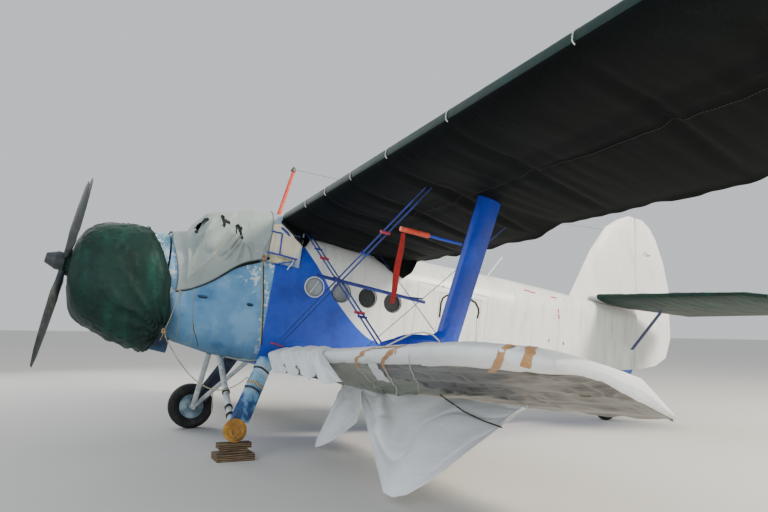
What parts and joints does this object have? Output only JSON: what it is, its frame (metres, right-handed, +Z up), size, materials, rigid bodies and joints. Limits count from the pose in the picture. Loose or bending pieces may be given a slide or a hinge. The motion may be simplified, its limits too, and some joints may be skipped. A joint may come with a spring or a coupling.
{
  "type": "biplane under storage covers",
  "caption": "Single-engined utility biplane parked on its tail wheel with tied covers over engine, cockpit, wings and tailplane, one main wheel missing.",
  "frame": {"origin": "on the ground under the middle of the whole length and span", "axes": "+X to the left wing tip, +Y aft, +Z up"},
  "size_m": [18.15, 12.8251, 4.617],
  "materials": {
    "white_paint": "worn gloss",
    "blue_paint": "gloss",
    "faded_blue_paint": "faded and chipped",
    "engine_metal": "matt",
    "window_glass": "dusty gloss",
    "green_cover": "coated cloth",
    "grey_canvas": "weathered canvas",
    "black_cover": "coated cloth",
    "white_sheet": "coated sheeting",
    "gear_paint": "chipped",
    "floor_metal": "dull",
    "timber": "weathered",
    "tail_gear_metal": "dull",
    "tyre": "matt",
    "propeller_paint": "satin",
    "orange_paint": "faded gloss",
    "red_cloth": "faded cloth",
    "rope": "twisted"
  },
  "bodies": {
    "airframe": {"engine_block": "engine_metal", "cowling": "white_paint", "oil_cooler_scoop": "faded_blue_paint", "engine_cover": "green_cover", "forward_fuselage": "faded_blue_paint", "canopy_frame": "blue_paint", "canopy_glazing": "window_glass", "cockpit_cover": "grey_canvas", "cabin_fuselage": "white_paint", "cabin_floor": "floor_metal", "cabin_windows_left": "window_glass", "cabin_windows_right": "window_glass", "tail_fuselage": "white_paint", "upper_wing_centre": "white_paint", "upper_wing_left": "white_paint", "lower_wing_left": "white_paint", "upper_wing_cover_left": "black_cover", "lower_wing_cover_left": "white_sheet", "interplane_strut_left": "blue_paint", "bracing_left": "blue_paint", "upper_wing_right": "white_paint", "lower_wing_right": "white_paint", "upper_wing_cover_right": "black_cover", "lower_wing_cover_right": "white_sheet", "interplane_strut_right": "blue_paint", "bracing_right": "blue_paint", "gear_brace_left": "gear_paint", "gear_brace_right": "gear_paint", "gear_leg_left": "faded_blue_paint", "gear_leg_right": "faded_blue_paint", "block_stack": "timber", "tail_leg": "tail_gear_metal", "fin": "white_paint", "tailplane_left": "white_paint", "tail_cover_left": "green_cover", "tailplane_strut_left": "blue_paint", "tailplane_right": "white_paint", "tail_cover_right": "green_cover", "tailplane_strut_right": "blue_paint", "aerial_mast": "orange_paint", "hanging_sheet_outer": "white_sheet", "hanging_sheet_inner": "white_sheet", "pitot_boom": "orange_paint", "pitot_streamer": "red_cloth", "tie_rope": "rope", "tie_rope_end": "rope"},
    "propeller": {"propeller": "propeller_paint"},
    "main_wheel_right": {"main_wheel_right": "tyre"},
    "tail_fork": {"tail_fork": "tail_gear_metal"},
    "tail_wheel": {"tail_wheel": "tyre"},
    "rudder": {"rudder": "white_paint"},
    "cargo_door": {"cargo_door": "white_paint"},
    "entry_door": {"entry_door": "white_paint"}
  },
  "joints": [
    {"name": "propeller_spin", "type": "hinge", "parent": "airframe", "child": "propeller", "pos_m": [0, -6.06208, 2.75582], "axis": [0, -0.9747, 0.2234], "continuous": true},
    {"name": "main_wheel_right_spin", "type": "hinge", "parent": "airframe", "child": "main_wheel_right", "pos_m": [-1.73, -3.81319, 0.39807], "axis": [1, 0, 0], "continuous": true},
    {"name": "tail_fork_swivel", "type": "hinge", "parent": "airframe", "child": "tail_fork", "pos_m": [0, 4.35731, 0.53], "axis": [0, 0, 1], "continuous": true},
    {"name": "tail_wheel_spin", "type": "hinge", "parent": "tail_fork", "child": "tail_wheel", "pos_m": [0, 4.46731, 0.23299], "axis": [1, 0, 0], "continuous": true},
    {"name": "rudder_hinge", "type": "hinge", "parent": "airframe", "child": "rudder", "pos_m": [0, 5.40752, 2.87026], "axis": [0, 0.0349, 0.9994], "range_deg": [-28, 28]},
    {"name": "cargo_door_hinge", "type": "hinge", "parent": "airframe", "child": "cargo_door", "pos_m": [0.88, 0.20768, 2.54089], "axis": [0, -0.9885, 0.1514], "range_deg": [0, 95]},
    {"name": "entry_door_hinge", "type": "hinge", "parent": "cargo_door", "child": "entry_door", "pos_m": [0.84, -0.18531, 1.80492], "axis": [0, 0.1514, 0.9885], "range_deg": [0, 90]}
  ]
}
